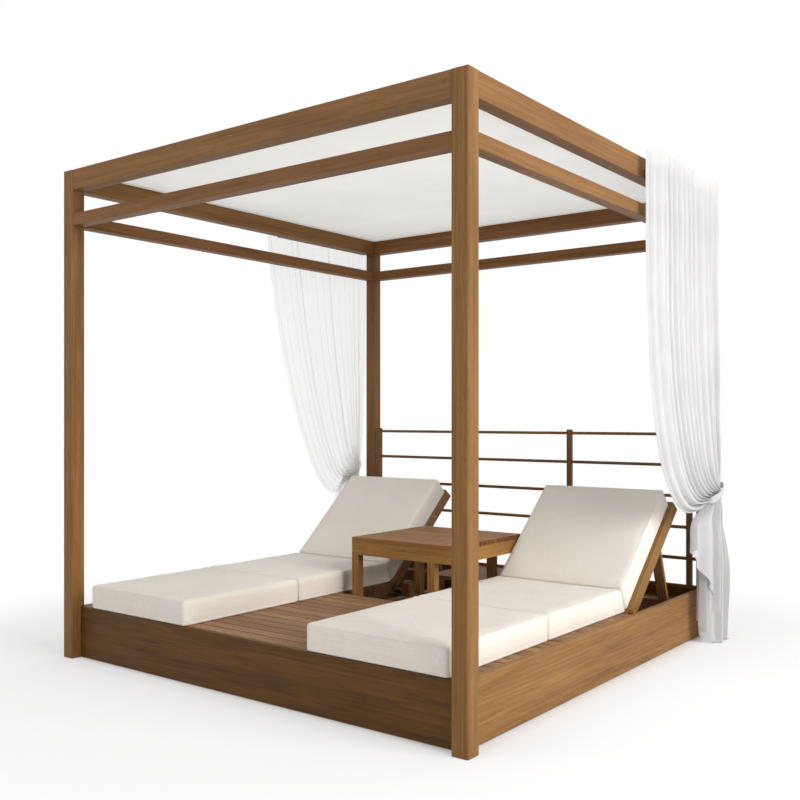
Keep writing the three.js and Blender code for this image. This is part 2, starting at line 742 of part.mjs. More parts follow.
// Sections of the upper drape, from its belly up to its heading: the height, where it starts
// and ends in depth, how far out its middle lies, its thickness and the depth of its folds
function drapeLevels() {
  const waist = waistPlace();
  const faceX = halfWidth - railSetback + curtainBattenThickness + contactGap;
  const hangX = faceX + curtainFoldDepth + curtainThickness / 2;
  const run = waist.bandFront - curtainFront;
  const end = halfDepth - curtainEndInset;
  const bandTop = tieHeight + tieWidth / 2 + contactGap;
  const drop = bandTop - bellyHeight;
  const cloth = { thick: curtainThickness, fold: curtainFoldDepth, roundShare: 0 };
  const gathered = { x: waist.x, fold: curtainFoldDepth / 2, roundShare: gatherRoundShare };
  const belly = [
    { dropShare: 1, fromShare: 0.62, toShare: 0.72, deepShare: 0.3 },
    { dropShare: 0.65, fromShare: 0.56, toShare: 0.87, deepShare: 0.6 },
    { dropShare: 0, fromShare: 0.48, toShare: 1, deepShare: 0.7 },
  ].map(({ dropShare, fromShare, toShare, deepShare }) => ({
    z: bandTop - dropShare * drop,
    from: curtainFront + run * fromShare,
    to: curtainFront + run * toShare,
    thick: 2 * waistHalfDepth * deepShare,
    ...gathered,
  }));
  const shoulder = { fromShare: 0.48, deepShare: 0.7, z: bandTop + curtainThickness / 2 };
  const gather = { fromShare: 0.37, deepShare: 0.5, z: bandTop + drop / 2 };
  const middle = [shoulder, gather].map(({ fromShare, deepShare, z }) => ({
    z,
    from: curtainFront + run * fromShare,
    to: waist.to,
    thick: 2 * waistHalfDepth * deepShare,
    ...gathered,
  }));
  const hanging = [
    { heightShare: 0.43, leanShare: 0.22 },
    { heightShare: 0.5, leanShare: 0.16 },
    { heightShare: 0.62, leanShare: 0.09 },
    { heightShare: 0.8, leanShare: 0.03 },
    { heightShare: 1, leanShare: 0 },
  ].map(({ heightShare, leanShare }) => ({
    z: curtainTop * heightShare, from: curtainFront + run * leanShare, to: end, x: hangX, ...cloth,
  }));
  return [...belly, ...middle, ...hanging];
}

// Sections of the tail, from the ground up through the band
function tailLevels() {
  const waist = waistPlace();
  const bundle = {
    from: waist.from,
    to: waist.to,
    x: waist.x,
    thick: 2 * waistHalfDepth,
    fold: 0,
    roundShare: bundleRoundShare,
  };
  const flare = [
    { heightShare: 0, spreadShare: 1 },
    { heightShare: 0.4, spreadShare: 0.75 },
    { heightShare: 0.8, spreadShare: 0.35 },
  ].map(({ heightShare, spreadShare }) => {
    const fold = curtainFoldDepth * spreadShare / 2;
    const halfDepthHere = waistHalfDepth + (tailHalfDepth - waistHalfDepth) * spreadShare;
    return {
      z: tieHeight * heightShare,
      from: waist.from - 2 * (tailHalfWidth - waistHalfWidth) * spreadShare,
      to: waist.to,
      x: waist.x + halfDepthHere - waistHalfDepth,
      thick: 2 * (halfDepthHere - fold),
      fold,
      roundShare: gatherRoundShare,
    };
  });
  const bandBottom = { z: tieHeight - tieWidth / 2 - contactGap, ...bundle };
  const bandTop = { z: tieHeight + tieWidth / 2 + curtainThickness, ...bundle };
  return [...flare, bandBottom, bandTop];
}

// Cloth through a stack of sections, waved along its length
function drape(levels, side) {
  const count = curtainFolds * curtainPointsPerFold;
  const rings = levels.map(({ z, from, to, x, thick, fold, roundShare }) => {
    const outer = [];
    const inner = [];
    for (let i = 0; i <= count; i += 1) {
      const share = i / count;
      const wave = fold * Math.sin(2 * Math.PI * curtainFolds * share);
      const half = thick / 2 * (1 - roundShare * (2 * share - 1) ** 2);
      const y = from + (to - from) * share;
      outer.push([side * (x + wave + half), y, z]);
      inner.push([side * (x + wave - half), y, z]);
    }
    const ring = [...outer, ...inner.reverse()];
    return side > 0 ? ring : ring.reverse();
  });
  return skin(rings);
}

// Curtains on short battens, each gathered by a band against its rear post
function buildCurtains() {
  for (const [name, side] of [["left", -1], ["right", 1]]) {
    const face = halfWidth - railSetback;
    const outer = face + curtainBattenThickness;
    const x = side > 0 ? [face, outer] : [-outer, -face];
    const y = [curtainFront + curtainBattenInset, halfDepth - postSide - curtainEndInset];
    const z = [frameHeight - upperRailHeight, frameHeight - upperRailHeight + curtainBattenHeight];
    place(`curtain_batten_${name}`, block(x, y, z), teak);
    place(`curtain_${name}`, join([drape(drapeLevels(), side), drape(tailLevels(), side)]), curtainFabric);
    place(`curtain_tie_${name}`, tieBand(side), curtainFabric);
  }
}

// An oval band of cloth round the curtain's waist
function tieBand(side) {
  const waist = waistPlace();
  const halfY = waistHalfWidth + contactGap;
  const halfX = waistHalfDepth + contactGap;
  const oval = (grow) => {
    const curve = new THREE.EllipseCurve(side * waist.x, waist.y, halfX + grow, halfY + grow);
    return curve.getPoints(bandPoints).slice(1);
  };
  const shape = new THREE.Shape(oval(tieThickness));
  shape.holes.push(new THREE.Path(oval(0)));
  const band = new THREE.ExtrudeGeometry(shape, { depth: tieWidth, bevelEnabled: false });
  return band.translate(0, 0, tieHeight - tieWidth / 2);
}

buildPosts();
buildRailRing("upper_rail", frameHeight - upperRailHeight, upperRailHeight, upperRailThickness);
const lowerRailBottom = frameHeight - upperRailHeight - railSpacing - lowerRailHeight;
buildRailRing("lower_rail", lowerRailBottom, lowerRailHeight, lowerRailThickness);
buildBasePanels();
buildDeck();
buildBearers();
buildPropRests();
buildLounger("left", -1);
buildLounger("right", 1);
buildTable();
buildRailing();
buildCanopy();
buildCurtains();

export default group;
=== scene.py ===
# Outdoor daybed with a canopy: a square frame of oiled teak over a slatted deck, two padded
# loungers with hinged backs, a low table, a rear railing, a canvas canopy and two curtains that
# are tied back. Metres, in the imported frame's own axes: +X right, -Y the open front, +Z up.

import json
import math
import random

import bpy
from mathutils import Matrix, Vector, noise


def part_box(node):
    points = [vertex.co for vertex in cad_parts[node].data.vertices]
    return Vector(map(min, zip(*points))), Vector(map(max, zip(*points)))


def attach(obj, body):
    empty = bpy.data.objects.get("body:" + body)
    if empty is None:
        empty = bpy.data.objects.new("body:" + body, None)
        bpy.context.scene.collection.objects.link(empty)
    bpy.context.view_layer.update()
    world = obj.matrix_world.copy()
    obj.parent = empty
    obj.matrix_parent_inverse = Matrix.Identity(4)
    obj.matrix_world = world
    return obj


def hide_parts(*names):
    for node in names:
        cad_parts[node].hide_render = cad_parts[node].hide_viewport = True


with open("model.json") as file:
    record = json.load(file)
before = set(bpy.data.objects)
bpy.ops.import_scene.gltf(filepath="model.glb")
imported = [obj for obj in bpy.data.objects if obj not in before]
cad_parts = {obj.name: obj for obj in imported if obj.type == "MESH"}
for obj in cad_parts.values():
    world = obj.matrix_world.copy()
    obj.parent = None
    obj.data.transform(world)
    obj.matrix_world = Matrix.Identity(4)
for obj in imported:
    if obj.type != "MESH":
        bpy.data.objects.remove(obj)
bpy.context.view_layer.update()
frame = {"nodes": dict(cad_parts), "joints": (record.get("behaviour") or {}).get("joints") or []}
nodes = frame["nodes"]
scene = bpy.context.scene
scene.view_settings.view_transform = "Standard"

# Camera: somebody standing off the front right corner holds it level at chest height. The lens is
# raised a little to keep the posts upright.
eye_place = (2.8950, -3.8290, 1.1309)
eye_turn = math.radians(37.342)
eye = bpy.data.cameras.new("eye")
eye.sensor_width = 36
eye.lens = 43.331
eye.shift_y = 0.02285
eye_stand = bpy.data.objects.new("eye", eye)
eye_stand.location = eye_place
eye_stand.rotation_euler = (math.radians(90), 0, eye_turn)
scene.collection.objects.link(eye_stand)
scene.camera = eye_stand


# Studio: a white floor that runs out into a white room, one big softbox on the right, weaker ones
# in front and overhead, and the pale room itself as fill from every side.
def wire(tree, kind, feeds=None, **settings):
    made = tree.nodes.new(kind)
    for name, value in settings.items():
        setattr(made, name, value)
    for socket, value in (feeds or {}).items():
        if isinstance(value, bpy.types.NodeSocket):
            tree.links.new(value, made.inputs[socket])
        else:
            made.inputs[socket].default_value = value
    return made


def blank_material(name):
    material = bpy.data.materials.new(name)
    material.use_nodes = True
    material.node_tree.nodes.clear()
    return material, material.node_tree


def shape(name, points, faces):
    """A smooth-shaded object from points and faces."""
    mesh = bpy.data.meshes.new(name)
    mesh.from_pydata(points, [], faces)
    mesh.polygons.foreach_set("use_smooth", [True] * len(mesh.polygons))
    made = bpy.data.objects.new(name, mesh)
    scene.collection.objects.link(made)
    return made


def math_node(tree, operation, first, second=0.0, third=0.0):
    made = wire(tree, "ShaderNodeMath", {0: first, 1: second, 2: third}, operation=operation)
    return made.outputs[0]


def mix_shaders(tree, share, first, second):
    return wire(tree, "ShaderNodeMixShader", {0: share, 1: first.outputs[0], 2: second.outputs[0]})


def seen_directly(tree):
    """1 where the eye meets a surface, also in a mirror or through a sheet, and 0 for its light."""
    path = wire(tree, "ShaderNodeLightPath").outputs
    either = math_node(tree, "MAXIMUM", path["Is Camera Ray"], path["Is Glossy Ray"])
    return math_node(tree, "MAXIMUM", either, path["Is Transmission Ray"])


def hang_softbox(name, place, size, power):
    lamp = bpy.data.lights.new(name, "AREA")
    lamp.size = size
    lamp.energy = power
    holder = bpy.data.objects.new(name, lamp)
    holder.location = place
    aim = Vector((0, 0, aim_height)) - Vector(place)
    holder.rotation_euler = aim.to_track_quat("-Z", "Y").to_euler()
    scene.collection.objects.link(holder)


aim_height = 0.8
room_fill = 0.47
room = bpy.data.worlds.new("room")
room.use_nodes = True
room.node_tree.nodes.clear()
fill = wire(room.node_tree, "ShaderNodeBackground", {"Color": (1, 1, 1, 1), "Strength": room_fill})
backdrop = wire(room.node_tree, "ShaderNodeBackground", {"Color": (1, 1, 1, 1), "Strength": 1.0})
room_mix = mix_shaders(room.node_tree, seen_directly(room.node_tree), fill, backdrop)
wire(room.node_tree, "ShaderNodeOutputWorld", {"Surface": room_mix.outputs[0]})
scene.world = room

hang_softbox("side_softbox", (7.6, -0.8, 3.9), 5.0, 590)
hang_softbox("front_softbox", (-2.0, -6.0, 6.0), 4.0, 120)
hang_softbox("top_softbox", (0.0, 0.5, 7.5), 4.0, 130)

floor_half = 30
floor_white = 0.86
floor_near, floor_far = 1.5, 2.9
floor_lift = 0.42
base_inner, base_outer = 1.10, 1.16
floor = shape("floor", [(-floor_half, -floor_half, 0), (floor_half, -floor_half, 0),
                        (floor_half, floor_half, 0), (-floor_half, floor_half, 0)], [(0, 1, 2, 3)])
floor_paint, tree = blank_material("floor_paint")
place = wire(tree, "ShaderNodeTexCoord")
reach = wire(tree, "ShaderNodeVectorMath", {0: place.outputs["Object"]}, operation="LENGTH")
fade = wire(tree, "ShaderNodeMapRange",
            {"Value": reach.outputs["Value"], "From Min": floor_near, "From Max": floor_far},
            interpolation_type="SMOOTHSTEP")
unsigned = wire(tree, "ShaderNodeVectorMath", {0: place.outputs["Object"]}, operation="ABSOLUTE")
spread = wire(tree, "ShaderNodeSeparateXYZ", {0: unsigned.outputs[0]})
widest = math_node(tree, "MAXIMUM", spread.outputs["X"], spread.outputs["Y"])
outside = wire(tree, "ShaderNodeMapRange", {"Value": widest, "From Min": base_inner,
                                            "From Max": base_outer, "To Max": floor_lift})
bright = math_node(tree, "MAXIMUM", fade.outputs[0], outside.outputs[0])
show = math_node(tree, "MULTIPLY", bright, seen_directly(tree))
matt = wire(tree, "ShaderNodeBsdfDiffuse", {"Color": (floor_white, floor_white, floor_white, 1)})
glow = wire(tree, "ShaderNodeEmission", {"Color": (1, 1, 1, 1), "Strength": 1.0})
mixed = mix_shaders(tree, show, matt, glow)
wire(tree, "ShaderNodeOutputMaterial", {"Surface": mixed.outputs[0]})
floor.data.materials.append(floor_paint)


# Posts: four square sticks of solid teak, planed, oiled and a little darkened outdoors. The grain
# runs up them, and their top ends show the rings.
def srgb(red, green, blue):
    tones = []
    for tone in (red, green, blue):
        tone /= 255
        tones.append(tone / 12.92 if tone <= 0.04045 else ((tone + 0.055) / 1.055) ** 2.4)
    return (*tones, 1)


def part_of(tree, vector, letter):
    return wire(tree, "ShaderNodeSeparateXYZ", {0: vector}).outputs[letter]


def along(tree, vector, run):
    """The vector turned so that its first part lies along the run of the grain."""
    parts = wire(tree, "ShaderNodeSeparateXYZ", {0: vector})
    order = {"x": "XYZ", "y": "YZX", "z": "ZXY"}[run]
    feeds = {slot: parts.outputs[letter] for slot, letter in enumerate(order)}
    return wire(tree, "ShaderNodeCombineXYZ", feeds).outputs[0]


def stretched(tree, vector, length, width):
    """Room for a pattern of this length along the grain and this width across it."""
    return wire(tree, "ShaderNodeVectorMath", {0: vector, 1: (1 / length, 1 / width, 1 / width)},
                operation="MULTIPLY").outputs[0]


def mottle(tree, vector, scale, detail, roughness=0.5, distortion=0.0):
    """Uneven spots, whether slow clouds of colour or fine fibre."""
    return wire(tree, "ShaderNodeTexNoise",
                {"Vector": vector, "Scale": scale, "Detail": detail, "Roughness": roughness,
                 "Distortion": distortion}).outputs["Fac"]


def ramp(tree, fac, stops):
    made = wire(tree, "ShaderNodeValToRGB", {"Fac": fac})
    band = made.color_ramp
    while len(band.elements) < len(stops):
        band.elements.new(0.5)
    for element, (place, colour) in zip(band.elements, stops):
        element.position = place
        element.color = colour
    return made.outputs["Color"]


def blend_colour(tree, mode, share, first, second):
    return wire(tree, "ShaderNodeMix", {"Factor": share, "A": first, "B": second},
                data_type="RGBA", blend_type=mode)


teak_tones = [srgb(92, 60, 28), srgb(116, 79, 41), srgb(132, 93, 52), srgb(150, 112, 68)]


def teak(name, run="z", tones=teak_tones, boards=None, turn=None, crossing=None, rough=0.5):
    """Oiled teak. run is the way of the grain; boards is (first edge, pitch) across it, so that
    each board differs; turn is (angle, pivot) for slanted pieces; crossing gives pairs of a mask
    and the way that the grain runs there instead."""
    material, tree = blank_material(name)
    here = wire(tree, "ShaderNodeTexCoord")
    spot, facing = here.outputs["Object"], here.outputs["Normal"]
    if turn:
        angle, pivot = turn
        spot = wire(tree, "ShaderNodeVectorRotate",
                    {"Vector": spot, "Center": pivot, "Angle": -angle},
                    rotation_type="X_AXIS").outputs[0]
        facing = wire(tree, "ShaderNodeVectorRotate", {"Vector": facing, "Angle": -angle},
                      rotation_type="X_AXIS").outputs[0]
    grain = along(tree, spot, run)
    faces = along(tree, facing, run)
    for mask, way in (crossing(tree, spot, facing) if crossing else ()):
        grain = wire(tree, "ShaderNodeMix", {0: mask, 4: grain, 5: along(tree, spot, way)},
                     data_type="VECTOR").outputs[1]
        faces = wire(tree, "ShaderNodeMix", {0: mask, 4: faces, 5: along(tree, facing, way)},
                     data_type="VECTOR").outputs[1]

    piece = wire(tree, "ShaderNodeObjectInfo").outputs["Random"]
    lot = math_node(tree, "MULTIPLY", piece, 37.0)
    if boards:
        from_first = math_node(tree, "SUBTRACT", part_of(tree, grain, "Y"), boards[0])
        count = math_node(tree, "FLOOR", math_node(tree, "DIVIDE", from_first, boards[1]))
        lot = math_node(tree, "ADD", lot, count)
    pick = wire(tree, "ShaderNodeTexWhiteNoise", {"W": lot}, noise_dimensions="1D")
    moved = wire(tree, "ShaderNodeVectorMath", {0: pick.outputs["Color"], 1: (9, 9, 9), 2: grain},
                 operation="MULTIPLY_ADD").outputs[0]

    figure = mottle(tree, stretched(tree, moved, 1.5, 0.11), 1.0, 3.0, distortion=0.9)
    rings = wire(tree, "ShaderNodeTexWave",
                 {"Vector": stretched(tree, moved, 6.0, 0.5), "Scale": 9.0, "Distortion": 9.0,
                  "Detail": 3.0, "Detail Scale": 1.3, "Detail Roughness": 0.6},
                 bands_direction="Y").outputs["Fac"]
    fibre = mottle(tree, stretched(tree, moved, 0.34, 0.0105), 1.0, 6.0, 0.62, 0.15)
    pores = mottle(tree, stretched(tree, moved, 0.028, 0.0011), 1.0, 1.0)

    tone = math_node(tree, "MULTIPLY_ADD", figure, 0.40, math_node(tree, "MULTIPLY", fibre, 0.52))
    tone = math_node(tree, "MULTIPLY_ADD", rings, 0.07, math_node(tree, "ADD", tone, 0.005))
    colour = ramp(tree, tone, list(zip((0.27, 0.42, 0.56, 0.76), tones)))
    lift = math_node(tree, "MULTIPLY_ADD", pick.outputs["Value"], 0.26, 0.87)
    colour = wire(tree, "ShaderNodeHueSaturation",
                  {"Hue": math_node(tree, "MULTIPLY_ADD", pick.outputs["Value"], 0.014, 0.493),
                   "Value": lift, "Color": colour}).outputs["Color"]
    flecks = wire(tree, "ShaderNodeMapRange",
                  {"Value": pores, "From Min": 0.6, "From Max": 0.72}).outputs[0]
    colour = blend_colour(tree, "MULTIPLY", math_node(tree, "MULTIPLY", flecks, 0.45), colour,
                          srgb(120, 84, 56)).outputs["Result"]
    end_on = math_node(tree, "ABSOLUTE", part_of(tree, faces, "X"))
    end_grain = wire(tree, "ShaderNodeMapRange",
                     {"Value": end_on, "From Min": 0.6, "From Max": 0.85}).outputs[0]
    sawn_dark = math_node(tree, "MULTIPLY_ADD", mottle(tree, moved, 260.0, 4.0), 0.5, 0.4)
    colour = blend_colour(tree, "MULTIPLY", math_node(tree, "MULTIPLY", end_grain, sawn_dark),
                          colour, srgb(150, 118, 92)).outputs["Result"]

    gloss = math_node(tree, "MULTIPLY_ADD", fibre, 0.22, rough - 0.08)
    relief = math_node(tree, "MULTIPLY_ADD", flecks, -0.8, fibre)
    bump = wire(tree, "ShaderNodeBump", {"Strength": 0.35, "Distance": 0.0009, "Height": relief})
    body = wire(tree, "ShaderNodeBsdfPrincipled",
                {"Base Color": colour, "Roughness": gloss, "Specular IOR Level": 0.2,
                 "Normal": bump.outputs[0]})
    wire(tree, "ShaderNodeOutputMaterial", {"Surface": body.outputs[0]})
    return material


def finish_with(names, material):
    """Gives the named solids this one finish."""
    for name in names:
        data = nodes[name].data
        data.materials.clear()
        data.materials.append(material)


upright_teak = teak("post_teak", run="z")
corners = [f"post_{end}_{side}" for end in ("front", "rear") for side in ("left", "right")]
finish_with(corners, upright_teak)

# Rails: deep ones flush with the post tops and a slimmer set below, tenoned between the posts.
# Each is one length of teak.
across_teak = teak("cross_rail_teak", run="x")
deep_teak = teak("side_rail_teak", run="y")
for rail in ("upper_rail", "lower_rail"):
    finish_with([f"{rail}_front", f"{rail}_rear"], across_teak)
    finish_with([f"{rail}_left", f"{rail}_right"], deep_teak)

# Base: one broad board on each side, with joists, ledgers and prop rests of the same wood behind
# it.
# The front and rear boards and the prop rests have tones darker than the posts, as painted shade,
# and the side boards slightly lighter ones, as painted light from the right-hand softbox.
# Painted shade: these front and rear board tones are darker than the posts'.
shaded_cross_board_tones = [srgb(66, 42, 11), srgb(86, 57, 18), srgb(103, 71, 25), srgb(124, 89, 37)]
# Painted light: these side board tones are lighter than the posts' for the softbox's light on them.
lit_side_board_tones = [srgb(93, 60, 29), srgb(119, 81, 41), srgb(138, 98, 55), srgb(160, 118, 72)]
shaded_board_teak = teak("shaded_cross_board_teak", run="x", tones=shaded_cross_board_tones)
lit_side_board_teak = teak("lit_side_board_teak", run="y", tones=lit_side_board_tones)
finish_with(["base_panel_front", "base_panel_rear", "prop_rest_left", "prop_rest_right"],
            shaded_board_teak)
finish_with([f"{part}_{side}" for part in ("base_panel", "joist", "side_ledger")
             for side in ("left", "right")], lit_side_board_teak)

# Deck: boards across the platform, screwed to battens underneath, with a finger's gap between
# them. They lie in the wet and have gone redder and matt.
deck_tones = [srgb(100, 68, 43), srgb(128, 92, 62), srgb(150, 113, 80), srgb(172, 136, 102)]
board_pitch, board_gap = 0.070, 0.007
for section in ("deck_front", "deck_rear", "deck_seat_left", "deck_seat_right"):
    low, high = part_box(section)
    count = round((high[1] - low[1] + board_gap) / board_pitch)
    pitch = (high[1] - low[1] + board_gap) / count
    finish_with([section], teak(f"{section}_teak", run="x", tones=deck_tones,
                                boards=(low[1] - board_gap / 2, pitch), rough=0.6))

# Lounger backs: two side rails with cut heads, slats let in between them and a head rail. The grain
# follows each piece: up the side rails, across in the slats.
back_angle = math.radians(41.7)
hinges = {joint["name"]: Vector(joint["pos_m"]) for joint in frame["joints"] if "pos_m" in joint}
pair_middle, back_middle = 0.019, 0.695
slats_half = 0.305


def near_middle(tree, spot, half):
    """Whether a spot is within half a width of the middle of one of the two backs."""
    across = math_node(tree, "SUBTRACT", part_of(tree, spot, "X"), pair_middle)
    side = math_node(tree, "ABSOLUTE", across)
    off_middle = math_node(tree, "ABSOLUTE", math_node(tree, "SUBTRACT", side, back_middle))
    return math_node(tree, "LESS_THAN", off_middle, half)


def between_rails(tree, spot, facing):
    return [(near_middle(tree, spot, slats_half), "x")]


back_teak = teak("back_frame_teak", run="y", turn=(back_angle, hinges["back_hinge_right"]),
                 crossing=between_rails)
finish_with(["back_frame_left", "back_frame_right"], back_teak)

# Props: two teak legs and a foot bar, hung between the side rails of each back. They stand on
# bevelled rests and hold the backs up.
prop_to_back = math.radians(111.1)
prop_lean = back_angle - prop_to_back
legs_half = 0.25


def between_legs(tree, spot, facing):
    return [(near_middle(tree, spot, legs_half), "x")]


prop_teak = teak("prop_teak", run="y", turn=(prop_lean, hinges["prop_hinge_right"]),
                 crossing=between_legs)
finish_with(["prop_left", "prop_right"], prop_teak)

# Hinge and prop rods: drawn stainless bar with a satin finish and fine marks round it. Each back
# turns on its hinge rod, between two lugs, and each prop on its prop rod.
satin_steel, tree = blank_material("satin_steel")
here = wire(tree, "ShaderNodeTexCoord")
marks = mottle(tree, stretched(tree, here.outputs["Object"], 0.004, 0.05), 1.0, 4.0)
steel_colour = ramp(tree, marks, [(0.3, srgb(132, 130, 126)), (0.7, srgb(166, 164, 160))])
steel_rough = wire(tree, "ShaderNodeMapRange", {"Value": marks, "To Min": 0.28, "To Max": 0.42})
steel_bump = wire(tree, "ShaderNodeBump", {"Strength": 0.1, "Distance": 0.0002, "Height": marks})
bar = wire(tree, "ShaderNodeBsdfPrincipled",
           {"Base Color": steel_colour, "Metallic": 1.0, "Roughness": steel_rough.outputs[0],
            "Normal": steel_bump.outputs[0]})
wire(tree, "ShaderNodeOutputMaterial", {"Surface": bar.outputs[0]})
finish_with(["hinge_rod_left", "hinge_rod_right", "prop_rod_left", "prop_rod_right"], satin_steel)

# Table: teak slats laid across on two cleats, over a frame of aprons on four legs. The grain runs
# along each apron and up each leg.
table_low, table_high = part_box("table_top")
slat_gap, slat_pitch = 0.006, 0.040
slat_count = round((table_high[1] - table_low[1] + slat_gap) / slat_pitch)
table_pitch = (table_high[1] - table_low[1] + slat_gap) / slat_count
table_tones = [srgb(102, 65, 31), srgb(131, 89, 46), srgb(150, 105, 58), srgb(169, 125, 74)]
finish_with(["table_top"], teak("table_top_teak", run="x", tones=table_tones,
                                boards=(table_low[1] - slat_gap / 2, table_pitch)))
apron_deep = 0.066
apron_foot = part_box("table_frame")[1][2] - apron_deep


def cross_aprons(tree, spot, facing):
    above = math_node(tree, "GREATER_THAN", part_of(tree, spot, "Z"), apron_foot)
    sideways = math_node(tree, "ABSOLUTE", part_of(tree, facing, "X"))
    end_aprons = math_node(tree, "MULTIPLY", above, math_node(tree, "LESS_THAN", sideways, 0.5))
    return [(above, "y"), (end_aprons, "x")]


finish_with(["table_frame"], teak("table_frame_teak", run="z", tones=table_tones,
                                  crossing=cross_aprons))

# Rear railing: six thin bars from post to post, let through four flat uprights that stand on the
# rear board. It is of a browner teak than the frame.
rail_tones = [srgb(78, 50, 26), srgb(105, 71, 38), srgb(122, 85, 48), srgb(142, 103, 61)]
finish_with([f"railing_bar_{order}" for order in range(1, 7)],
            teak("railing_bar_teak", run="x", tones=rail_tones))
finish_with([f"railing_upright_{order}" for order in range(1, 5)],
            teak("railing_upright_teak", run="z", tones=rail_tones))


# Cushions: three foam blocks to a lounger in ecru canvas covers. Each cover is a top, a bottom and
# a boxing strip sewn together just inside the rounded edges, so the faces swell between the seams.
def cushion_room(node, tilt, pivot):
    """The block that a cushion fills, seen square to it: its two sides, floor and top, and where it
    starts and ends at the floor and at the top."""
    back = Matrix.Rotation(-tilt, 4, "X") @ Matrix.Translation(-pivot)
    points = [back @ vertex.co for vertex in nodes[node].data.vertices]
    sides = (min(p.x for p in points), max(p.x for p in points))
    floor_z, top_z = min(p.z for p in points), max(p.z for p in points)
    ends = []
    for height in (cad_edge, top_z - floor_z - cad_crown - cad_edge):
        level = [p.y for p in points if abs(p.z - floor_z - height) < 0.0005]
        ends.append((height, min(level), max(level)))
    (z0, a0, b0), (z1, a1, b1) = ends
    thick = top_z - floor_z
    reach = lambda v0, v1, z: v0 + (v1 - v0) * (z - z0) / (z1 - z0)
    return sides, (floor_z, top_z), [(reach(a0, a1, z), reach(b0, b1, z)) for z in (0, thick)]


def sewn_block(name, room):
    """A closed cover over a block: a fine grid on top and bottom, and rows round the sides."""
    (x0, x1), (z0, z1), ((y0a, y1a), (y0b, y1b)) = room
    thick = z1 - z0
    nx, ny = round((x1 - x0) / cloth_step), round((y1b - y0b) / cloth_step)

    def at(u, v, w, inset):
        y0, y1 = y0a + (y0b - y0a) * w, y1a + (y1b - y1a) * w
        wide, deep = x1 - x0 - 2 * inset, y1 - y0 - 2 * inset
        px, py = u * wide - wide / 2, v * deep - deep / 2
        corner = corner_round
        cx, cy = max(0.0, abs(px) - wide / 2 + corner), max(0.0, abs(py) - deep / 2 + corner)
        stray = math.hypot(cx, cy)
        if stray > corner:
            px -= math.copysign(cx * (1 - corner / stray), px)
            py -= math.copysign(cy * (1 - corner / stray), py)
        return Vector(((x0 + x1) / 2 + px, (y0 + y1) / 2 + py, z0 + w * thick))

    grid = {}
    points = []

    def put(key, point):
        grid[key] = len(points)
        points.append(point)

    for layer, w in (("bottom", 0.0), ("top", 1.0)):
        for i in range(nx + 1):
            for j in range(ny + 1):
                put((layer, i, j), at(i / nx, j / ny, w, edge_round))
    rim = [(i, 0) for i in range(nx)] + [(nx, j) for j in range(ny)]
    rim += [(i, ny) for i in range(nx, 0, -1)] + [(0, j) for j in range(ny, 0, -1)]
    levels = []
    for turn in arc_turns:
        levels.append((edge_round * (1 - math.sin(turn)), edge_round * (1 - math.cos(turn)), 0.0))
    levels.append((0.0, edge_round + seam_step, 0.0))
    levels.append((seam_depth, edge_round + 2 * seam_step, 1.0))
    levels.append((0.0, edge_round + 3 * seam_step, 0.0))
    side_levels = list(levels)
    middle = thick - 2 * (edge_round + 3 * seam_step)
    for share in side_shares:
        side_levels.append((0.0, edge_round + 3 * seam_step + middle * share, 0.0))
    side_levels += [(inset, thick - height, seam) for inset, height, seam in reversed(levels)]
    for row, (inset, height, _) in enumerate(side_levels):
        for k, (i, j) in enumerate(rim):
            put(("side", row, k), at(i / nx, j / ny, height / thick, inset))
    faces = []
    for i in range(nx):
        for j in range(ny):
            quad = [(i, j), (i + 1, j), (i + 1, j + 1), (i, j + 1)]
            faces.append([grid["top", a, b] for a, b in quad])
            faces.append([grid["bottom", a, b] for a, b in reversed(quad)])

    def column(k):
        edge = rim[k % len(rim)]
        sides = [("side", row, k % len(rim)) for row in range(len(side_levels))]
        return [grid[key] for key in (("bottom", *edge), *sides, ("top", *edge))]

    for k in range(len(rim)):
        near, after = column(k), column(k + 1)
        for row in range(len(near) - 1):
            faces.append([near[row], after[row], after[row + 1], near[row + 1]])
    cover = shape(name, points, faces)
    held = cover.vertex_groups.new(name="seams")
    for (kind, *rest), index in grid.items():
        if kind == "side":
            held.add([index], 1.0 if side_levels[rest[0]][2] else side_hold, "REPLACE")
        elif kind == "bottom":
            held.add([index], 1.0, "REPLACE")
    return cover


def swell(cover, most):
    """Blows the cover up from inside while its seams hold, as foam fills it, and keeps each point
    within reach of where it was cut."""
    start = [vertex.co.copy() for vertex in cover.data.vertices]
    cloth = cover.modifiers.new("filling", "CLOTH")
    cloth.settings.use_pressure = True
    cloth.settings.uniform_pressure_force = 4
    cloth.settings.effector_weights.gravity = 0
    cloth.settings.vertex_group_mass = "seams"
    cloth.settings.tension_stiffness = 25
    cloth.settings.bending_stiffness = 4
    cloth.collision_settings.use_collision = False
    cloth.point_cache.frame_start, cloth.point_cache.frame_end = 1, fill_steps
    for step in range(1, fill_steps + 1):
        scene.frame_set(step)
    shaped = cover.evaluated_get(bpy.context.evaluated_depsgraph_get()).to_mesh()
    for vertex, home, grown in zip(cover.data.vertices, start, shaped.vertices):
        move = grown.co - home
        vertex.co = home + move * min(1.0, most / max(move.length, 1e-9))
    cover.modifiers.clear()
    scene.frame_set(1)


def crease(cover, room, seed):
    """Slow dips and small pulls in the canvas, growing towards the top, over a slight crown in the
    middle.
    """
    (x0, x1), (z0, z1), (_, (y0, y1)) = room
    for vertex in cover.data.vertices:
        spot = vertex.co
        u, v = (spot.x - x0) / (x1 - x0), (spot.y - y0) / (y1 - y0)
        crown = max(0.0, 4 * u * (1 - u)) * max(0.0, 4 * v * (1 - v))
        upper = max(0.0, min(1.0, (spot.z - z0) / (z1 - z0) * 2 - 1))
        slow = noise.noise(Vector((spot.x * 6 + seed, spot.y * 6, 0)))
        pull = noise.noise(Vector((spot.x * 26 + seed * 3, spot.y * 26, spot.z * 20)))
        vertex.co.z += upper * (crown ** 0.5 * crown_lift + slow * dip_high + pull * pull_high)


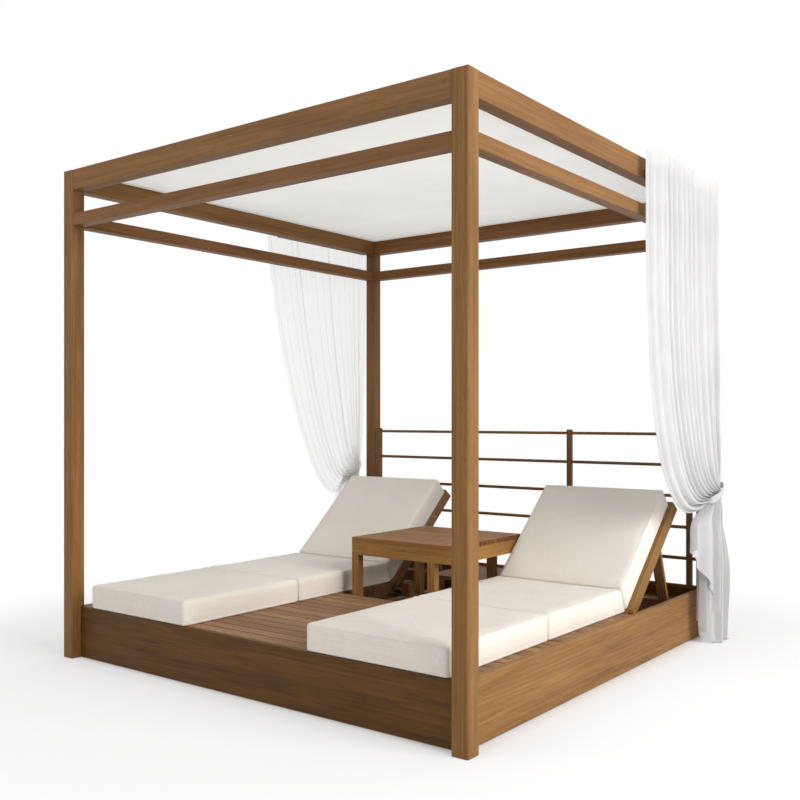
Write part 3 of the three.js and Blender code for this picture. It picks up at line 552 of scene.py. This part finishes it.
def woven(tree, vector, ways, scale, distortion, detail=2.0, detail_scale=1.0):
    """The threads of a plain weave, seen on the faces across each way."""
    feeds = {"Vector": vector, "Scale": scale, "Distortion": distortion, "Detail": detail,
             "Detail Scale": detail_scale}
    return [wire(tree, "ShaderNodeTexWave", feeds, bands_direction=way).outputs["Fac"]
            for way in ways]


def canvas(name):
    """Ecru outdoor canvas: plain weave, slightly uneven yarn, with a soft bloom on it."""
    material, tree = blank_material(name)
    here = wire(tree, "ShaderNodeTexCoord").outputs["Object"]
    yarns = woven(tree, here, "XYZ", 420.0, 0.6, detail=1.0, detail_scale=0.4)
    weave = math_node(tree, "MULTIPLY", math_node(tree, "ADD", yarns[0], yarns[2]), yarns[1])
    slubs = mottle(tree, here, 90.0, 5.0)
    cloudy = mottle(tree, here, 3.5, 3.0)
    tone = math_node(tree, "MULTIPLY_ADD", slubs, 0.45, math_node(tree, "MULTIPLY", cloudy, 0.55))
    colour = ramp(tree, tone, [(0.3, srgb(222, 215, 203)), (0.52, srgb(228, 221, 211)),
                               (0.75, srgb(233, 227, 218))])
    colour = blend_colour(tree, "MULTIPLY", math_node(tree, "MULTIPLY", weave, 0.05), colour,
                          srgb(150, 140, 125)).outputs["Result"]
    relief = math_node(tree, "MULTIPLY_ADD", slubs, 0.6, weave)
    bump = wire(tree, "ShaderNodeBump", {"Strength": 0.3, "Distance": 0.0006, "Height": relief})
    body = wire(tree, "ShaderNodeBsdfPrincipled",
                {"Base Color": colour, "Roughness": 0.93, "Specular IOR Level": 0.2,
                 "Sheen Weight": 0.12, "Sheen Roughness": 0.5, "Normal": bump.outputs[0]})
    wire(tree, "ShaderNodeOutputMaterial", {"Surface": body.outputs[0]})
    return material


cad_edge, cad_crown = 0.014, 0.005
cloth_step = 0.011
corner_round = 0.012
edge_round = 0.007
arc_turns = [math.radians(turn) for turn in (22, 45, 68, 90)]
side_shares = (0.10, 0.24, 0.4, 0.62, 0.86)
seam_step = 0.0026
seam_depth = 0.0011
side_hold = 0.12
fill_steps = 20
cover_shrink = 0.003
head_fill = 0.010
crown_lift, dip_high, pull_high = 0.0025, 0.0016, 0.0005
ecru = canvas("ecru_canvas")
for side in ("left", "right"):
    for order, part in enumerate(("foot", "seat", "back")):
        hinge = hinges[f"back_hinge_{side}"]
        tilt = back_angle if part == "back" else 0.0
        pivot = hinge if part == "back" else Vector((0, 0, 0))
        sides, heights, ends = cushion_room(f"{part}_cushion_{side}", tilt, pivot)
        if part == "back":
            ends = [(foot, head + head_fill) for foot, head in ends]
        room_inside = (sides, (heights[0], heights[1] - cover_shrink), ends)
        cover = sewn_block(f"{part}_cover_{side}", room_inside)
        swell(cover, cover_shrink)
        crease(cover, room_inside, order + (7 if side == "left" else 0))
        cover.data.transform(Matrix.Translation(pivot) @ Matrix.Rotation(tilt, 4, "X"))
        cover.data.materials.append(ecru)
        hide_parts(f"{part}_cushion_{side}")
        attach(cover, f"back_{side}" if part == "back" else "frame")


# Canopy: one sheet of off-white canvas laced flat between the upper rails, hemmed all round. It
# sags a finger's width in the middle and lets some daylight through.
def grid_faces(strips, steps):
    """Quads between strips of points that follow one another, with steps + 1 points to a strip."""
    faces = []
    for strip in range(strips):
        for step in range(steps):
            a = strip * (steps + 1) + step
            b = a + steps + 1
            faces.append((a, a + 1, b + 1, b))
    return faces


canopy_low, canopy_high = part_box("canopy_cloth")
canopy_steps = 72
canopy_drop, canopy_sag, canopy_ripple = 0.003, 0.016, 0.0022
canopy_hem, stitch_in, stitch_half = 0.034, 0.004, 0.0012
canopy_through = 0.31
canopy_points = []
for j in range(canopy_steps + 1):
    for i in range(canopy_steps + 1):
        u, v = i / canopy_steps, j / canopy_steps
        x = canopy_low[0] + (canopy_high[0] - canopy_low[0]) * u
        y = canopy_low[1] + (canopy_high[1] - canopy_low[1]) * v
        bowl = (1 - (2 * u - 1) ** 2) * (1 - (2 * v - 1) ** 2)
        ripple = noise.noise(Vector((x * 2.2, y * 2.2, 4.0))) * canopy_ripple * min(1.0, bowl * 6)
        canopy_points.append((x, y, canopy_high[2] - canopy_drop - canopy_sag * bowl + ripple))
canopy = shape("canopy_sheet", canopy_points, grid_faces(canopy_steps, canopy_steps))
canopy_canvas, tree = blank_material("canopy_canvas")
here = wire(tree, "ShaderNodeTexCoord").outputs["Object"]
from_middle = [math_node(tree, "ABSOLUTE", part_of(tree, here, letter)) for letter in "XY"]
from_side, from_end = (math_node(tree, "SUBTRACT", edge, middle)
                       for edge, middle in zip(canopy_high, from_middle))
from_edge = math_node(tree, "MINIMUM", from_side, from_end)
hem = math_node(tree, "LESS_THAN", from_edge, canopy_hem)
from_stitch = math_node(tree, "SUBTRACT", from_edge, canopy_hem - stitch_in)
stitch = math_node(tree, "LESS_THAN", math_node(tree, "ABSOLUTE", from_stitch), stitch_half)
weave = math_node(tree, "MULTIPLY", *woven(tree, here, "XY", 380.0, 0.5))
sheet_colour = ramp(tree, mottle(tree, here, 2.4, 4.0),
                    [(0.3, srgb(228, 228, 225)), (0.7, srgb(236, 236, 234))])
for seam, share, tone in ((hem, 0.35, srgb(205, 204, 200)), (stitch, 0.6, srgb(160, 158, 152))):
    sheet_colour = blend_colour(tree, "MULTIPLY", math_node(tree, "MULTIPLY", seam, share),
                                sheet_colour, tone).outputs["Result"]
sewn = math_node(tree, "MULTIPLY_ADD", stitch, -1.2, weave)
relief = math_node(tree, "MULTIPLY_ADD", hem, 1.6, sewn)
sheet_bump = wire(tree, "ShaderNodeBump", {"Strength": 0.25, "Distance": 0.0006, "Height": relief})
front = wire(tree, "ShaderNodeBsdfPrincipled",
             {"Base Color": sheet_colour, "Roughness": 0.9, "Specular IOR Level": 0.2,
              "Normal": sheet_bump.outputs[0]})
through = wire(tree, "ShaderNodeBsdfTranslucent", {"Color": sheet_colour})
canopy_mix = mix_shaders(tree, canopy_through, front, through)
wire(tree, "ShaderNodeOutputMaterial", {"Surface": canopy_mix.outputs[0]})
canopy.data.materials.append(canopy_canvas)
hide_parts("canopy_cloth")
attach(canopy, "frame")

# Curtains: one width of white voile on each side, pleated on a batten, drawn back in a swag of its
# own to a band on the rear post and left to fall to the ground. Each thread keeps the cloth's
# length, so the front edge, which goes the long way round, ends above the ground.
finish_with(["curtain_batten_left", "curtain_batten_right"], deep_teak)
cloth_width, cloth_length = 1.34, 2.43
fold_count = 14
threads_across, rows_down = 252, 190
heading_front, heading_rear, heading_top = 0.206, 1.128, 2.340
hang_x, waist_x = 1.187, 1.187
waists = {"right": (1.052, 0.752), "left": (0.998, 0.802)}
waist_half, waist_deep, waist_slope = 0.076, 0.035, 0.45
rear_pulls = ((1.118, 1.80), (1.112, 1.15))
swag_steps, tail_steps = 64, 40
droop_deep, droop_share = 0.034, 0.12
roll_deep, roll_share = 0.016, 0.022
band_reach = 0.15
tail_drop, tail_lag = 0.14, 0.3
drift_from, drift_full = 2.3, 1.6
heading_deep = 0.28
kick_height, kick_out = 0.05, 0.02
ruffle_out = 0.004
inner_face = 1.1405
hem_high = 0.004
tail_way = [(0.0, 1.168, 0.828), (0.3, 1.212, 0.980), (0.52, 1.160, 0.925), (1.0, 1.236, 1.075)]


def smooth_share(low, high, value):
    t = max(0.0, min(1.0, (value - low) / (high - low)))
    return t * t * (3 - 2 * t)


def tail_place(u):
    """Where a thread stands in the tail, seen from above: the cloth goes back on itself once."""
    for (u0, x0, y0), (u1, x1, y1) in zip(tail_way, tail_way[1:]):
        if u <= u1:
            t = smooth_share(u0, u1, u)
            return x0 + (x1 - x0) * t, y0 + (y1 - y0) * t


def at_waist(u, waist):
    along = (2 * u - 1) * waist_half * 0.95
    return Vector((waist[0] + along, waist[1] + along * waist_slope))


def swag_thread(u, swag, waist):
    """The way one thread hangs: from the heading in a swag to the band, then down the tail. swag is
    the pair of points that pull the front edge down."""
    mix = lambda front, rear: front + (rear - front) * u
    droop = droop_deep * max(0.0, 1 - u / droop_share) ** 2
    knots = [Vector((mix(heading_front, heading_rear), heading_top - droop)),
             *(Vector((mix(front[0], rear[0]), mix(front[1], rear[1])))
               for front, rear in zip(swag, rear_pulls)), at_waist(u, waist)]
    path = []
    for step in range(swag_steps + 1):
        t = step / swag_steps
        s = 1 - t
        path.append(knots[0] * s ** 3 + knots[1] * 3 * s * s * t
                    + knots[2] * 3 * s * t * t + knots[3] * t ** 3)
    foot = tail_place(u)[1]
    top = path[-1]
    for step in range(1, tail_steps + 1):
        t = step / tail_steps
        spread = smooth_share(0, 1, t * (6.0 - 4.0 * u))
        path.append(Vector((top.x + (foot - top.x) * spread, top.y - t * (top.y - hem_high))))
    path.append(Vector((foot - 0.25 * (1 - u) + 0.1 * u - 0.05, hem_high)))
    return path


def lay_thread(path, length, count):
    """Points at even steps of the cloth's length along a path."""
    steps = [0.0]
    for a, b in zip(path, path[1:]):
        steps.append(steps[-1] + (b - a).length)
    points, at = [], 0
    for row in range(count + 1):
        want = min(length * row / count, steps[-1])
        while at < len(steps) - 2 and steps[at + 1] < want:
            at += 1
        share = (want - steps[at]) / max(1e-9, steps[at + 1] - steps[at])
        points.append(path[at].lerp(path[at + 1], share))
    return points


def curtain_cloth(name, mirror, swag, waist, fullness, seed):
    """The gathered cloth: pleats stand out from the way of each thread, are pressed together in the
    band, and go on below it as broader folds."""
    columns = [lay_thread(swag_thread(i / threads_across, swag, waist), cloth_length, rows_down)
               for i in range(threads_across + 1)]
    chance = random.Random(seed)
    strengths = [chance.uniform(0.4, 1.1) for fold in range(2 * fold_count + 2)]
    points = []
    for i in range(threads_across + 1):
        u = i / threads_across
        caught = at_waist(u, waist)
        band_row = min(range(rows_down + 1), key=lambda row: (columns[i][row] - caught).length)
        for row in range(rows_down + 1):
            spot = columns[i][row]
            beside = columns[min(i + 1, threads_across)][row] - columns[max(i - 1, 0)][row]
            down = columns[i][min(row + 1, rows_down)] - columns[i][max(row - 1, 0)]
            down = down.normalized() if down.length > 1e-6 else Vector((0, -1))
            # The closer the threads lie, the deeper the pleats.
            share = abs(beside.x * down.y - beside.y * down.x) * threads_across / 2 / cloth_width
            depth = cloth_width / (4 * fold_count) * math.sqrt(max(0.0, 1 - min(share, 0.97) ** 2))
            # Pleats differ in width and in strength, and wander a little on their way down.
            drift = noise.noise(Vector((u * 3.0 + seed, spot.y * 1.4, 1.7))) * 0.35
            drift *= smooth_share(drift_from, drift_full, spot.y)
            uneven = 0.022 * (math.sin(9 * u + seed) - math.sin(seed)) + 0.012 * math.sin(23 * u)
            phase = fold_count * (u + uneven) + drift * min(1.0, 4 * u)
            fold = int(2 * phase) % (2 * fold_count + 2)
            this, after = strengths[fold], strengths[(fold + 1) % len(strengths)]
            strength = this + (after - this) * smooth_share(0, 1, 2 * phase % 1)
            wave = 0.9 * math.cos(2 * math.pi * phase) - 0.18 * math.cos(4 * math.pi * phase)
            # In the band the cloth is an oval bundle; at the heading it is held shallower.
            near_band = smooth_share(band_reach, 0.0, (spot - caught).length)
            oval = waist_deep * math.sqrt(max(0.1, 1 - (2 * u - 1) ** 2))
            heading = 0.7 + 0.3 * smooth_share(heading_top, heading_top - heading_deep, spot.y)
            depth = depth * fullness * heading * strength * (1 - near_band) + oval * near_band
            # Below the band it falls out to its place on the ground; the hem kicks and ruffles.
            tail_full = caught.y - tail_drop - tail_lag * u
            tail = smooth_share(caught.y, tail_full, spot.y) * (row > band_row)
            middle = hang_x + (tail_place(u)[0] - hang_x) * tail
            wave += (0.95 * math.cos(0.7 * math.pi * phase + 1.0) - 0.35 * wave) * tail
            middle -= roll_deep * max(0.0, 1 - u / roll_share) ** 2 * (row < band_row)
            ruffle = noise.noise(Vector((u * 14 + seed, spot.x * 5, spot.y * 5))) * ruffle_out
            x = max(inner_face, middle + depth * wave + ruffle)
            kick = smooth_share(kick_height, 0.0, spot.y) * kick_out
            x += kick * math.sin(5 * math.pi * u + seed)
            points.append(Vector((mirror * x, spot.x, max(0.003, spot.y))))
    faces = grid_faces(threads_across, rows_down)
    return shape(name, points, faces if mirror > 0 else [quad[::-1] for quad in faces])


def voile(name, sheerness, through_share, tones):
    """White polyester voile: fine even threads with daylight between them."""
    material, tree = blank_material(name)
    here = wire(tree, "ShaderNodeTexCoord").outputs["Object"]
    weave = math_node(tree, "MULTIPLY", *woven(tree, here, "YZ", 520.0, 0.4))
    colour = ramp(tree, mottle(tree, here, 5.0, 4.0), list(zip((0.3, 0.7), tones)))
    bump = wire(tree, "ShaderNodeBump", {"Strength": 0.15, "Distance": 0.0004, "Height": weave})
    body = wire(tree, "ShaderNodeBsdfPrincipled",
                {"Base Color": colour, "Roughness": 0.85, "Specular IOR Level": 0.2,
                 "Sheen Weight": 0.1, "Normal": bump.outputs[0]})
    through = wire(tree, "ShaderNodeBsdfTranslucent", {"Color": colour})
    lit = mix_shaders(tree, through_share, body, through)
    holes = wire(tree, "ShaderNodeBsdfTransparent")
    mixed = mix_shaders(tree, sheerness, lit, holes)
    wire(tree, "ShaderNodeOutputMaterial", {"Surface": mixed.outputs[0]})
    return material


# The two curtains are one white voile: the right one's tones are painted grey, as painted shade,
# and the left one's are near white.
voiles = {"right": voile("shaded_right_voile", 0.03, 0.34, (srgb(214, 214, 214), srgb(222, 222, 221))),
          "left": voile("left_voile", 0.62, 0.5, (srgb(252, 252, 252), srgb(255, 255, 255)))}
swags = {"right": ((0.189, 1.594), (0.215, 0.415)), "left": ((0.295, 1.371), (0.725, 0.300))}
for side, mirror, fullness, seed in (("right", 1, 1.2, 3), ("left", -1, 0.82, 11)):
    curtain = curtain_cloth(f"curtain_cloth_{side}", mirror, swags[side], waists[side], fullness,
                            seed)
    curtain.data.materials.append(voiles[side])
    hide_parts(f"curtain_{side}")
    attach(curtain, "frame")

# Tie bands: a strip of the same voile folded in three, passed round the curtain's waist and caught
# on the post, with its front dragged down by the swag.
band_turns, band_rows = 96, 8
band_width = 0.036
band_out_x, band_out_y = 0.0385, 0.0815
band_thick = 0.003
for side, mirror in (("right", 1), ("left", -1)):
    points, faces = [], []
    for turn in range(band_turns):
        angle = 2 * math.pi * turn / band_turns
        for row in range(band_rows + 1):
            share = row / band_rows
            pleat = 0.0012 * math.sin(3 * math.pi * share + 0.4) + 0.0008 * noise.noise(
                Vector((math.cos(angle) * 4, math.sin(angle) * 4, share * 3)))
            pinch = 1 - 0.25 * math.cos(angle * 2) ** 2
            x = waist_x + (band_out_x + pleat) * math.cos(angle)
            y = waists[side][0] + (band_out_y + pleat) * math.sin(angle)
            z = waists[side][1] + (share - 0.5) * band_width * pinch
            z += (y - waists[side][0]) * waist_slope
            points.append((mirror * x, y, z))
    for turn in range(band_turns):
        for row in range(band_rows):
            a = turn * (band_rows + 1) + row
            b = (turn + 1) % band_turns * (band_rows + 1) + row
            quad = (a, b, b + 1, a + 1)
            faces.append(quad if mirror > 0 else quad[::-1])
    band = shape(f"tie_band_{side}", points, faces)
    thick = band.modifiers.new("folded", "SOLIDIFY")
    thick.thickness = band_thick
    thick.offset = 1
    band.data.materials.append(voiles[side])
    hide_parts(f"curtain_tie_{side}")
    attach(band, "frame")
